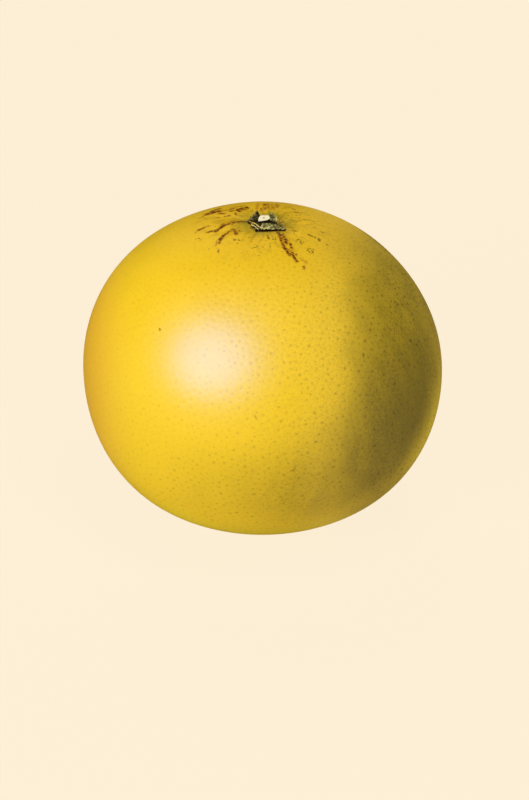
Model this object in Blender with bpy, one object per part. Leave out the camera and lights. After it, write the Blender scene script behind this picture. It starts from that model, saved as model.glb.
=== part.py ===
"""A Duncan grapefruit: one whole picked fruit, its dried calyx and the cut stub of its stem.

Units are metres and +Z runs up the fruit's axis, stem end up. The origin is the centre of the
small flat spot that the fruit rests on. Azimuths are in degrees from +X, anticlockwise seen
from above, and latitudes are in degrees above the fruit's widest girdle.
"""

import math

import bmesh
import bpy
from mathutils import Vector

# Fruit: a body of revolution, slightly flattened, fuller below its girdle than above it
GIRDLE_RADIUS = 0.0600
TOP_HEIGHT = 0.0537
BOTTOM_DEPTH = 0.0552
TOP_ROUNDNESS = 2.0
BOTTOM_ROUNDNESS = 2.07
FLAT_RADIUS = 0.0090

# Broad swellings and one flattened shoulder: azimuth, latitude, height and spread in degrees
SWELLINGS = (
    (15.0, 29.0, -0.0008, 28.0),
    (164.0, 31.0, 0.0009, 28.0),
    (-156.0, -41.0, 0.0010, 28.0),
    (-21.0, -37.0, 0.0010, 28.0),
    (105.0, -8.0, -0.0006, 30.0),
    (62.0, -30.0, 0.0006, 26.0),
)

# Stem basin, with shallow creases that run out of it
STEM_X = 0.0003
STEM_Y = 0.0
BASIN_DEPTH = 0.0022
BASIN_RADIUS = 0.0095
CREASE_COUNT = 7
CREASE_DEPTH = 0.0004
CREASE_MIDDLE = 0.0120
CREASE_REACH = 0.0060
CREASE_TURN = 0.6

# Clearance between pieces that sit on each other
GAP = 0.0003

# Calyx lobes: azimuth, reach from the stem, half width in degrees and lift of the tip
LOBES = (
    (119.0, 0.0053, 25.0, 0.0026),
    (50.0, 0.0053, 25.0, 0.0019),
    (-26.0, 0.0080, 17.0, 0.0002),
    (-70.0, 0.0067, 27.0, 0.0001),
    (-140.0, 0.0064, 30.0, 0.0006),
)
CALYX_DISC_RADIUS = 0.0040
CALYX_RIM_THICKNESS = 0.0007
CALYX_DISC_THICKNESS = 0.0019
SOCKET_FLOOR = 0.0006
LIFT_POWER = 1.8
EDGE_WAVES = 11
EDGE_WAVE_DEPTH = 0.00022
RIPPLES = 8
RIPPLE_HEIGHT = 0.0003

# Stem stub, cut on a slant
STUB_RADIUS = 0.0021
STUB_OVAL = 0.88
STUB_FOOT_TAPER = 0.92
STUB_TOP_ABOVE_BASIN = 0.0027
STUB_CUT_SLOPE = 0.18
STUB_EDGE = 0.00025

# Sides of the calyx, as levels of its plan
UNDER_SIDE = 0.0
SOCKET_SIDE = 0.5
UPPER_SIDE = 1.0

# Fineness of the meshes
MERGE_DISTANCE = 1e-7
SHARP_ANGLE = 50.0
FRUIT_SEGMENTS = 80
FRUIT_RINGS = 44
FLAT_RINGS = 2
CALYX_SEGMENTS = 60
CALYX_UNDER_RINGS = 5
CALYX_UPPER_RINGS = 6
STUB_SEGMENTS = 24
HEIGHT_PASSES = 6

# Finishes: linear colour, roughness
RIND_COLOUR = (0.87, 0.55, 0.03)
RIND_ROUGHNESS = 0.42
CALYX_COLOUR = (0.13, 0.12, 0.06)
CALYX_ROUGHNESS = 0.85
STUB_COLOUR = (0.80, 0.74, 0.52)
STUB_ROUGHNESS = 0.80


def clear_scene():
    """Removes every object of the startup scene."""
    for obj in list(bpy.data.objects):
        bpy.data.objects.remove(obj, do_unlink=True)


def make_material(name, colour, roughness):
    """A plain finish with no metal in it."""
    material = bpy.data.materials.new(name)
    material.use_nodes = True
    shader = material.node_tree.nodes["Principled BSDF"]
    shader.inputs["Base Color"].default_value = (*colour, 1.0)
    shader.inputs["Roughness"].default_value = roughness
    shader.inputs["Metallic"].default_value = 0.0
    return material


def make_object(name, mesh, material, parent):
    """Adds a smooth-shaded mesh to the scene under the fruit's empty."""
    obj = bpy.data.objects.new(name, mesh)
    bpy.context.scene.collection.objects.link(obj)
    mesh.materials.append(material)
    mesh.shade_smooth()
    mesh.set_sharp_from_angle(angle=math.radians(SHARP_ANGLE))
    obj.parent = parent
    return obj


def turned(profile, segments):
    """A closed bmesh made by turning a profile, given as (radius, height), about the Z axis."""
    shape = bmesh.new()
    points = [shape.verts.new((radius, 0.0, height)) for radius, height in profile]
    edges = [shape.edges.new(pair) for pair in zip(points, points[1:])]
    bmesh.ops.spin(
        shape,
        geom=points + edges,
        cent=(0.0, 0.0, 0.0),
        axis=(0.0, 0.0, 1.0),
        angle=math.tau,
        steps=segments,
        use_merge=True,
    )
    bmesh.ops.remove_doubles(shape, verts=shape.verts, dist=MERGE_DISTANCE)
    bmesh.ops.recalc_face_normals(shape, faces=shape.faces)
    return shape


def finished_mesh(name, shape):
    """Turns a bmesh into a mesh and frees it."""
    bmesh.ops.triangulate(shape, faces=shape.faces)
    bmesh.ops.recalc_face_normals(shape, faces=shape.faces)
    mesh = bpy.data.meshes.new(name)
    shape.to_mesh(mesh)
    shape.free()
    return mesh


def direction_of(azimuth, latitude):
    """The unit direction at an azimuth and a latitude in degrees."""
    turn = math.radians(azimuth)
    lift = math.radians(latitude)
    return Vector((math.cos(lift) * math.cos(turn), math.cos(lift) * math.sin(turn), math.sin(lift)))


def plain_radius(direction):
    """Distance from the fruit's middle to its even, turned surface."""
    across = math.hypot(direction.x, direction.y) / GIRDLE_RADIUS
    if direction.z > 0.0:
        along, power = direction.z / TOP_HEIGHT, TOP_ROUNDNESS
    else:
        along, power = -direction.z / BOTTOM_DEPTH, BOTTOM_ROUNDNESS
    return (across**power + along**power) ** (-1.0 / power)


def flat_latitude():
    """Latitude of the rim of the flat spot, where the plain surface is FLAT_RADIUS off the axis."""
    across = (FLAT_RADIUS / GIRDLE_RADIUS) ** BOTTOM_ROUNDNESS
    depth = BOTTOM_DEPTH * (1.0 - across) ** (1.0 / BOTTOM_ROUNDNESS)
    return -math.degrees(math.atan2(depth, FLAT_RADIUS))


def middle_height():
    """Height of the fruit's middle above the flat spot."""
    rim = direction_of(0.0, flat_latitude())
    return -rim.z * plain_radius(rim)


def crease_depth(x, y):
    """How deep the creases round the stem are at a place seen from above."""
    distance = math.hypot(x, y)
    turn = math.atan2(y, x)
    wave = 0.5 + 0.5 * math.cos(CREASE_COUNT * turn + CREASE_TURN * math.sin(2.0 * turn))
    fade = math.exp(-(((distance - CREASE_MIDDLE) / CREASE_REACH) ** 2))
    return CREASE_DEPTH * wave**2 * fade


def fruit_point(direction):
    """The point of the fruit's skin in a direction from its middle."""
    unit = direction.normalized()
    radius = plain_radius(unit)
    for azimuth, latitude, height, spread in SWELLINGS:
        angle = math.degrees(unit.angle(direction_of(azimuth, latitude)))
        radius += height * math.exp(-((angle / spread) ** 2))
    point = unit * radius
    if unit.z > 0.0:
        x, y = point.x - STEM_X, point.y - STEM_Y
        basin = BASIN_DEPTH * math.exp(-(math.hypot(x, y) / BASIN_RADIUS) ** 2)
        point.z -= basin + crease_depth(x, y)
    point.z = max(point.z + middle_height(), 0.0)
    return point


def skin_height(x, y):
    """Height of the skin's upper side at a place seen from above."""
    middle = middle_height()
    height = TOP_HEIGHT
    for _ in range(HEIGHT_PASSES):
        height = fruit_point(Vector((x, y, height))).z - middle
    return height + middle


def fruit_profile():
    """Half outline of a unit ball from the top down, with rings where the flat spot needs them."""
    flat = flat_latitude()
    latitudes = [90.0 + (flat - 90.0) * ring / FRUIT_RINGS for ring in range(FRUIT_RINGS + 1)]
    latitudes += [flat + (-90.0 - flat) * ring / FLAT_RINGS for ring in range(1, FLAT_RINGS + 1)]
    return [(math.cos(math.radians(angle)), math.sin(math.radians(angle))) for angle in latitudes]


def make_fruit(parent):
    """The whole fruit: rind, basin, creases and flat spot in one solid."""
    shape = turned(fruit_profile(), FRUIT_SEGMENTS)
    flat_sine = math.sin(math.radians(flat_latitude()))
    for vert in shape.verts:
        unit = vert.co.normalized()
        vert.co = fruit_point(unit)
        if unit.z < flat_sine + MERGE_DISTANCE:
            vert.co.z = 0.0
    material = make_material("rind", RIND_COLOUR, RIND_ROUGHNESS)
    return make_object("fruit", finished_mesh("fruit", shape), material, parent)


def lobe_share(turn, azimuth, half_width):
    """One at the middle of a lobe, falling to nothing beside it."""
    apart = (turn - azimuth + 180.0) % 360.0 - 180.0
    return math.exp(-((apart / half_width) ** 2))


def calyx_reach(turn):
    """Distance from the stem to the calyx's edge at an azimuth in degrees."""
    reach = CALYX_DISC_RADIUS
    for azimuth, length, half_width, _ in LOBES:
        reach += (length - CALYX_DISC_RADIUS) * lobe_share(turn, azimuth, half_width)
    return reach + EDGE_WAVE_DEPTH * math.sin(EDGE_WAVES * math.radians(turn) + 1.0)


def calyx_lift(turn, share):
    """How far the calyx curls up off the skin, share of the way to its edge."""
    lift = sum(height * lobe_share(turn, azimuth, width) for azimuth, _, width, height in LOBES)
    ripple = RIPPLE_HEIGHT * (0.5 + 0.5 * math.sin(RIPPLES * math.radians(turn)))
    return (lift + ripple) * share**LIFT_POWER


def calyx_point(turn, distance, level):
    """A point of the calyx's underside, its upper side or its socket's floor."""
    angle = math.radians(turn)
    x = STEM_X + distance * math.cos(angle)
    y = STEM_Y + distance * math.sin(angle)
    share = distance / calyx_reach(turn)
    under = skin_height(x, y) + GAP + calyx_lift(turn, share)
    if level == UNDER_SIDE:
        return Vector((x, y, under))
    if level == SOCKET_SIDE:
        return Vector((x, y, skin_height(STEM_X, STEM_Y) + GAP + SOCKET_FLOOR))
    thickness = CALYX_DISC_THICKNESS + (CALYX_RIM_THICKNESS - CALYX_DISC_THICKNESS) * share**2
    return Vector((x, y, under + thickness))


def calyx_profile():
    """The calyx's plan, from the middle of its underside out to the rim and back into the socket."""
    under = [(ring / CALYX_UNDER_RINGS, UNDER_SIDE) for ring in range(CALYX_UNDER_RINGS + 1)]
    upper = [(1.0 + ring / CALYX_UPPER_RINGS, UPPER_SIDE) for ring in range(CALYX_UPPER_RINGS, -1, -1)]
    return under + upper + [(1.0, SOCKET_SIDE), (0.0, SOCKET_SIDE)]


def make_calyx(parent):
    """The dried calyx: a woody disc with five curled lobes and a socket for the stem."""
    socket = STUB_RADIUS + GAP
    shape = turned(calyx_profile(), CALYX_SEGMENTS)
    for vert in shape.verts:
        plan = math.hypot(vert.co.x, vert.co.y)
        turn = math.degrees(math.atan2(vert.co.y, vert.co.x))
        if vert.co.z == UPPER_SIDE:
            distance = socket + (plan - 1.0) * (calyx_reach(turn) - socket)
        elif vert.co.z == UNDER_SIDE:
            distance = plan * calyx_reach(turn)
        else:
            distance = plan * socket
        vert.co = calyx_point(turn, distance, vert.co.z)
    material = make_material("dried_calyx", CALYX_COLOUR, CALYX_ROUGHNESS)
    return make_object("calyx", finished_mesh("calyx", shape), material, parent)


def make_stem_stub(parent):
    """The cut end of the stem, standing in the calyx."""
    floor = skin_height(STEM_X, STEM_Y) + 2.0 * GAP + SOCKET_FLOOR
    top = skin_height(STEM_X, STEM_Y) + STUB_TOP_ABOVE_BASIN
    profile = [
        (0.0, floor),
        (STUB_RADIUS * STUB_FOOT_TAPER, floor),
        (STUB_RADIUS, top - STUB_EDGE),
        (STUB_RADIUS - STUB_EDGE, top),
        (0.0, top),
    ]
    shape = turned(profile, STUB_SEGMENTS)
    for vert in shape.verts:
        vert.co.y *= STUB_OVAL
        if vert.co.z > floor + GAP:
            vert.co.z += STUB_CUT_SLOPE * vert.co.y
        vert.co.x += STEM_X
        vert.co.y += STEM_Y
    material = make_material("cut_stem", STUB_COLOUR, STUB_ROUGHNESS)
    return make_object("stem_stub", finished_mesh("stem_stub", shape), material, parent)


def make_grapefruit():
    """Builds the fruit, its calyx and its stem stub under one empty at the resting point."""
    resting_point = bpy.data.objects.new("resting_point", None)
    bpy.context.scene.collection.objects.link(resting_point)
    make_fruit(resting_point)
    make_calyx(resting_point)
    make_stem_stub(resting_point)


clear_scene()
make_grapefruit()
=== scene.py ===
"""Looks of a Duncan grapefruit: its pored rind, the dried calyx, the cut stem and a plain studio.

Metres, +Z up. The fruit's sizes repeat the solids' own, so every piece lies where its solid lies.
"""

from __future__ import annotations

import logging
import math
import random
from dataclasses import dataclass, field, fields
from enum import Enum
from functools import reduce

import bmesh
import bpy
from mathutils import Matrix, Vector, noise


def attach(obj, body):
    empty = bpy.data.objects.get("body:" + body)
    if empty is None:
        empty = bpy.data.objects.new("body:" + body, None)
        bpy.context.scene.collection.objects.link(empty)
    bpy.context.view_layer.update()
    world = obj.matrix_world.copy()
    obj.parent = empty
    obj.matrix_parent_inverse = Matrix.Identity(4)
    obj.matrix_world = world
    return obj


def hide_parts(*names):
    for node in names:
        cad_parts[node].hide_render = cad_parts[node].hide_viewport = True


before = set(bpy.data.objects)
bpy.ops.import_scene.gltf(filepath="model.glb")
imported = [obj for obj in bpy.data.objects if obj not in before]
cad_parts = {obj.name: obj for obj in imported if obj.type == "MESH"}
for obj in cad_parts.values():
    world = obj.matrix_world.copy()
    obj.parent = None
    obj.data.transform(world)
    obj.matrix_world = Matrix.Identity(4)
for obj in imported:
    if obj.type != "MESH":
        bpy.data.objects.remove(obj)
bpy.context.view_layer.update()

LOG = logging.getLogger("grapefruit")
MM = 0.001
UP = Vector((0.0, 0.0, 1.0))
BMesh = bmesh.types.BMesh
Material = bpy.types.Material
Node = bpy.types.Node
NodeTree = bpy.types.NodeTree
Outputs = bpy.types.bpy_prop_collection
Socket = bpy.types.NodeSocket
Piece = bpy.types.Object
Colour = tuple[float, float, float, float]
Rows = tuple[tuple[float, ...], ...]
Path = tuple[tuple[float, float, float], ...]


def to_linear(channel: float) -> float:
    """Turns a screen's colour channel into scene light.

    Args:
        channel: the channel from 0 to 255.

    Returns:
        The channel's share of full light.
    """
    share = channel / 255.0
    if share <= 0.04045:
        return share / 12.92
    return ((share + 0.055) / 1.055) ** 2.4


class Tone(Enum):
    """Colours of the fruit and its studio, as a screen shows them."""

    GOLD = (242, 200, 22)
    BRIGHT_GOLD = (255, 213, 42)
    LOW_GOLD = (247, 207, 22)
    # Painted reflected light along the rim.
    RIM_GOLD = (255, 226, 24)
    DEEP_GOLD = (234, 186, 18)
    AMBER = (240, 184, 4)
    # Painted shade: the olive of the shaded side, its deepest patch and its light flecks.
    SHADE_OLIVE = (160, 135, 6)
    DARK_OLIVE = (116, 102, 4)
    GLINT = (206, 184, 24)
    FLECK = (206, 164, 8)
    PORE = (184, 140, 0)
    # The pores' shaded copy, used inside the painted shade.
    PORE_OLIVE = (92, 80, 4)
    # Green round the stem, partly painted shade round the calyx.
    HALO = (134, 128, 34)
    WASH = (198, 134, 0)
    RUSSET = (170, 90, 0)
    DARK_RUSSET = (68, 18, 0)
    BROWN = (100, 62, 26)
    OLIVE = (128, 90, 0)
    SPECK = (60, 36, 4)
    SCAR = (120, 92, 44)
    LEAF_GREY = (207, 199, 143)
    LEAF_MID = (132, 124, 66)
    LEAF_DARK = (30, 18, 3)
    # Cream of the calyx edges, partly a painted highlight.
    LEAF_EDGE = (230, 208, 132)
    LEAF_GILT = (230, 188, 66)
    CUT_CREAM = (253, 244, 206)
    CUT_GREY = (172, 152, 108)
    BARK = (62, 50, 18)
    PAPER = (253, 239, 214)
    LAMP = (255, 252, 244)
    BOUNCE = (254, 246, 228)
    SKY = (236, 240, 236)
    GLOSS = (20, 132, 255)

    def colour(self, strength: float = 1.0) -> Colour:
        """The tone in scene light, times a strength, with a full alpha."""
        red, green, blue = (to_linear(channel) * strength for channel in self.value)
        return (red, green, blue, 1.0)


def ease(value: float, low: float, high: float) -> float:
    """Rises smoothly from 0 at low to 1 at high, which may be below low."""
    share = min(1.0, max(0.0, (value - low) / (high - low)))
    return share * share * (3.0 - 2.0 * share)


def polar(turn: float, reach: float = 1.0) -> Vector:
    """The plan vector of a turn in radians and a reach."""
    return Vector((reach * math.cos(turn), reach * math.sin(turn)))


@dataclass(frozen=True)
class Swelling:
    """A broad rise or dip of the fruit: degrees for its place and spread, metres for its height."""

    azimuth: float
    latitude: float
    height: float
    spread: float

    def direction(self) -> Vector:
        """The unit direction of its middle."""
        lift = math.radians(self.latitude)
        return Vector((*polar(math.radians(self.azimuth), math.cos(lift)), math.sin(lift)))


@dataclass
class FruitForm:
    """The fruit's outer shape, with the sizes of the solid."""

    girdle_radius: float = 0.0600
    top_height: float = 0.0537
    bottom_depth: float = 0.0552
    top_roundness: float = 2.0
    bottom_roundness: float = 2.07
    flat_radius: float = 0.0090
    stem_x: float = 0.0003
    stem_y: float = 0.0
    basin_depth: float = 0.0022
    basin_radius: float = 0.0095
    crease_count: int = 7
    crease_depth: float = 0.0004
    crease_middle: float = 0.0120
    crease_reach: float = 0.0060
    crease_turn: float = 0.6
    height_passes: int = 6
    swellings: tuple[Swelling, ...] = (
        Swelling(15.0, 29.0, -0.0008, 28.0),
        Swelling(164.0, 31.0, 0.0009, 28.0),
        Swelling(-156.0, -41.0, 0.0010, 28.0),
        Swelling(-21.0, -37.0, 0.0010, 28.0),
        Swelling(105.0, -8.0, -0.0006, 30.0),
        Swelling(62.0, -30.0, 0.0006, 26.0),
    )
    middle: float = field(init=False)

    def __post_init__(self) -> None:
        """Works out the height of the fruit's middle above its flat spot."""
        across = (self.flat_radius / self.girdle_radius) ** self.bottom_roundness
        depth = self.bottom_depth * (1.0 - across) ** (1.0 / self.bottom_roundness)
        rim = Vector((self.flat_radius, 0.0, -depth)).normalized()
        self.middle = -rim.z * self.plain_radius(rim)
        self.rises = [(s.direction(), s.height, math.radians(s.spread)) for s in self.swellings]

    def plain_radius(self, unit: Vector) -> float:
        """Distance from the middle to the even, turned surface.

        Args:
            unit: a unit direction.

        Returns:
            The distance in metres.
        """
        across = math.hypot(unit.x, unit.y) / self.girdle_radius
        if unit.z > 0.0:
            along, power = unit.z / self.top_height, self.top_roundness
        else:
            along, power = -unit.z / self.bottom_depth, self.bottom_roundness
        return (across**power + along**power) ** (-1.0 / power)

    def crease(self, x: float, y: float) -> float:
        """Depth of the creases that run out of the stem basin.

        Args:
            x: distance from the stem along X.
            y: distance from the stem along Y.

        Returns:
            The depth in metres.
        """
        distance, turn = math.hypot(x, y), math.atan2(y, x)
        wave = 0.5 + 0.5 * math.cos(self.crease_count * turn + self.crease_turn * math.sin(2.0 * turn))
        fade = math.exp(-(((distance - self.crease_middle) / self.crease_reach) ** 2))
        return self.crease_depth * wave**2 * fade

    def point(self, direction: Vector) -> Vector:
        """The point of the skin in a direction from the fruit's middle.

        Args:
            direction: any vector but zero.

        Returns:
            The point in the row's frame.
        """
        unit = direction.normalized()
        radius = self.plain_radius(unit)
        for centre, height, spread in self.rises:
            angle = math.acos(max(-1.0, min(1.0, unit.dot(centre))))
            radius += height * math.exp(-((angle / spread) ** 2))
        point = unit * radius
        if unit.z > 0.0:
            x, y = point.x - self.stem_x, point.y - self.stem_y
            basin = self.basin_depth * math.exp(-((math.hypot(x, y) / self.basin_radius) ** 2))
            point.z -= basin + self.crease(x, y)
        point.z = max(point.z + self.middle, 0.0)
        return point

    def skin_height(self, x: float, y: float) -> float:
        """Height of the skin's upper side under a place seen from above.

        Args:
            x: the place along X.
            y: the place along Y.

        Returns:
            The height above the flat spot.
        """
        height = self.top_height
        for _ in range(self.height_passes):
            height = self.point(Vector((x, y, height))).z - self.middle
        return height + self.middle


@dataclass(frozen=True)
class Fade:
    """A smooth rise from nothing at its start to its top value at its end."""

    start: float
    end: float
    top: float = 1.0

    def at(self, value: float) -> float:
        """How far the fade has risen at a value."""
        return self.top * ease(value, self.start, self.end)


@dataclass(frozen=True)
class Line:
    """A value that starts at its base and grows by its gain as a mask goes from 0 to 1."""

    base: float
    gain: float


@dataclass(frozen=True)
class Patch:
    """A soft round patch of the skin, in millimetres from the fruit's middle, and its fade."""

    x: float
    y: float
    z: float
    fade: Fade


class Board:
    """Adds and joins the nodes of one shader or node group."""

    MEASURES = ("DISTANCE", "DOT_PRODUCT", "LENGTH")

    def __init__(self, tree: NodeTree) -> None:
        """Takes the tree that the nodes go into."""
        self.tree = tree

    def feed(self, socket: Socket, value: object) -> None:
        """Links a socket to another or sets its own value.

        Args:
            socket: the input to feed.
            value: a socket, a tone that stands for its colour, or a plain value.
        """
        if isinstance(value, Socket):
            self.tree.links.new(value, socket)
        else:
            socket.default_value = value.colour() if isinstance(value, Tone) else value

    def add(self, kind: str, inputs: dict[str | int, object], **settings: object) -> Node:
        """Adds one node.

        Args:
            kind: the node's type name.
            inputs: values or sockets by input name or number.
            settings: the node's own properties.

        Returns:
            The new node.
        """
        node = self.tree.nodes.new(kind)
        for name, value in settings.items():
            setattr(node, name, value)
        for name, value in inputs.items():
            self.feed(node.inputs[name], value)
        return node

    def math(self, operation: str, *values: float | Socket) -> Socket:
        """The result of a Math node on numbers or sockets."""
        return self.add("ShaderNodeMath", dict(enumerate(values)), operation=operation).outputs[0]

    def times(self, *values: float | Socket) -> Socket:
        """The product of two or more numbers or sockets."""
        return reduce(lambda first, second: self.math("MULTIPLY", first, second), values)

    def line(self, mask: Socket, line: Line) -> Socket:
        """The line's value at a mask."""
        return self.math("MULTIPLY_ADD", mask, line.gain, line.base)

    def vector(self, operation: str, *values: object, **named: object) -> Socket:
        """The result of a Vector Math node: a number for a measure, else a vector."""
        node = self.add("ShaderNodeVectorMath", {**dict(enumerate(values)), **named}, operation=operation)
        return node.outputs["Value" if operation in self.MEASURES else "Vector"]

    def ramp(self, value: Socket, low: float | Socket, high: float | Socket, top: float = 1.0) -> Socket:
        """Rises smoothly from 0 at low to top at high."""
        inputs = {"Value": value, "From Min": low, "From Max": high, "To Min": 0.0, "To Max": top}
        return self.add("ShaderNodeMapRange", inputs, interpolation_type="SMOOTHSTEP").outputs[0]

    def fade(self, value: Socket, fade: Fade, unit: float = 1.0, zero: float = 0.0) -> Socket:
        """The fade of a value that is counted in a unit from a zero."""
        return self.ramp(value, zero + fade.start * unit, zero + fade.end * unit, fade.top)

    def mix(self, share: float | Socket, first: object, second: object) -> Socket:
        """Mixes two tones, colours or sockets by the share of the second."""
        return self.add("ShaderNodeMix", {0: share, 6: first, 7: second}, data_type="RGBA").outputs[2]

    def noise(self, position: Socket, size: float | Socket, detail: float = 2.0) -> Socket:
        """A noise around one half whose patches are about that size in metres."""
        inputs = {"Vector": position, "Scale": self.math("DIVIDE", 1.0, size), "Detail": detail}
        return self.add("ShaderNodeTexNoise", inputs).outputs[0]

    def channels(self, attribute: str) -> list[Socket]:
        """The red, green and blue of a colour attribute of the mesh."""
        colour = self.add("ShaderNodeAttribute", {}, attribute_name=attribute).outputs["Color"]
        return list(self.add("ShaderNodeSeparateColor", {0: colour}).outputs)


@dataclass(frozen=True)
class Effect:
    """A shader node group, built once and placed with each one's own values, in metres."""

    NAME = "effect"
    GIVES = "Mask"

    def wire(self, board: Board, given: Outputs) -> Socket:
        """Adds the group's own nodes to what it is given, and gives its result."""
        raise NotImplementedError

    def values(self) -> dict[str, float | tuple[float, ...]]:
        """The group's own inputs by name."""
        return {each.name.capitalize(): getattr(self, each.name) for each in fields(self)}

    def tree(self) -> NodeTree:
        """The group's node tree, made at its first use.

        Returns:
            The tree.
        """
        found = bpy.data.node_groups.get(self.NAME)
        if found:
            return found
        tree = bpy.data.node_groups.new(self.NAME, "ShaderNodeTree")
        tree.interface.new_socket("Position", in_out="INPUT", socket_type="NodeSocketVector")
        for name, value in self.values().items():
            kind = "NodeSocketVector" if isinstance(value, tuple) else "NodeSocketFloat"
            tree.interface.new_socket(name, in_out="INPUT", socket_type=kind)
        tree.interface.new_socket(self.GIVES, in_out="OUTPUT", socket_type="NodeSocketFloat")
        board = Board(tree)
        result = self.wire(board, tree.nodes.new("NodeGroupInput").outputs)
        board.feed(tree.nodes.new("NodeGroupOutput").inputs[self.GIVES], result)
        return tree

    def place(self, board: Board, position: Socket) -> Socket:
        """The group's result at a position, placed in a material."""
        inputs = {"Position": position, **self.values()}
        return board.add("ShaderNodeGroup", inputs, node_tree=self.tree()).outputs[0]


@dataclass(frozen=True)
class StemDistance(Effect):
    """Distance from the stem, seen from above."""

    NAME = "stem_distance"
    GIVES = "Distance"
    stem: tuple[float, ...]

    def wire(self, board: Board, given: Outputs) -> Socket:
        """Flattens the position and measures from the stem."""
        plan = board.vector("MULTIPLY", given["Position"], (1.0, 1.0, 0.0))
        return board.vector("DISTANCE", plan, given["Stem"])


@dataclass(frozen=True)
class Rays(Effect):
    """Fine streaks that run away from the stem on every side."""

    NAME = "rays"
    EDGE = Fade(0.50, 0.66)
    DETAIL = 3.0
    stem: tuple[float, ...]
    count: float
    length: float

    def wire(self, board: Board, given: Outputs) -> Socket:
        """Reads a noise that is fine round the stem and long away from it.

        Args:
            board: the group's own board.
            given: what the group is given, by name.

        Returns:
            The group's result.
        """
        away = board.vector("SUBTRACT", given["Position"], given["Stem"])
        plan = board.vector("MULTIPLY", away, (1.0, 1.0, 0.0))
        turned = board.vector("SCALE", board.vector("NORMALIZE", plan), Scale=given["Count"])
        along = board.math("DIVIDE", board.vector("LENGTH", plan), given["Length"])
        rise = board.add("ShaderNodeCombineXYZ", {2: along}).outputs[0]
        return board.fade(board.noise(board.vector("ADD", turned, rise), 1.0, self.DETAIL), self.EDGE)


@dataclass(frozen=True)
class Mottle(Effect):
    """Soft patches between two levels of a noise."""

    NAME = "mottle"
    DETAIL = 3.0
    size: float
    low: float
    high: float

    def wire(self, board: Board, given: Outputs) -> Socket:
        """Lifts the noise between its two levels."""
        pattern = board.noise(given["Position"], given["Size"], self.DETAIL)
        return board.ramp(pattern, given["Low"], given["High"])


@dataclass(frozen=True)
class Specks(Effect):
    """Small round spots, one in each of a share of loose cells."""

    NAME = "specks"
    CORE = 0.5
    spacing: float
    radius: float
    share: float

    def wire(self, board: Board, given: Outputs) -> Socket:
        """Draws a spot in each cell and keeps those that the cell's own draw chooses.

        Args:
            board: the group's own board.
            given: what the group is given, by name.

        Returns:
            The group's result.
        """
        scale = board.math("DIVIDE", 1.0, given["Spacing"])
        cells = board.add("ShaderNodeTexVoronoi", {"Vector": given["Position"], "Scale": scale})
        away = board.times(cells.outputs["Distance"], given["Spacing"])
        spot = board.ramp(away, given["Radius"], board.times(given["Radius"], self.CORE))
        draw = board.add("ShaderNodeSeparateXYZ", {0: cells.outputs["Color"]}).outputs["X"]
        return board.times(spot, board.math("LESS_THAN", draw, given["Share"]))


@dataclass(frozen=True)
class Grain(Effect):
    """Height of a fine uneven surface, in metres, for a Bump node."""

    NAME = "grain"
    GIVES = "Relief"
    DETAIL = 4.0
    size: float
    height: float

    def wire(self, board: Board, given: Outputs) -> Socket:
        """Scales the noise to its height."""
        return board.times(board.noise(given["Position"], given["Size"], self.DETAIL), given["Height"])


class Coat(Board):
    """A material's board, with the place that it reads and the colour laid so far."""

    def __init__(self, material: Material, ground: Tone) -> None:
        """Takes the material and its lowest colour.

        Args:
            material: what the nodes belong to.
            ground: the tone under all others.
        """
        super().__init__(material.node_tree)
        self.place = self.add("ShaderNodeTexCoord", {}).outputs["Object"]
        self.colour: Tone | Socket = ground

    def paint(self, share: Socket, tone: Tone | Socket) -> None:
        """Lays a tone over the colour so far."""
        self.colour = self.mix(share, self.colour, tone)

    def dress(self, dull: Socket, relief: Socket) -> None:
        """Joins the colour and the rest to the shader.

        Args:
            dull: the roughness.
            relief: the surface's fine height in metres.
        """
        bump = self.add("ShaderNodeBump", {"Height": relief, "Distance": 1.0, "Strength": 1.0})
        shader = self.tree.nodes["Principled BSDF"]
        for name, value in (("Base Color", self.colour), ("Roughness", dull), ("Normal", bump.outputs[0])):
            self.feed(shader.inputs[name], value)


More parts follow.
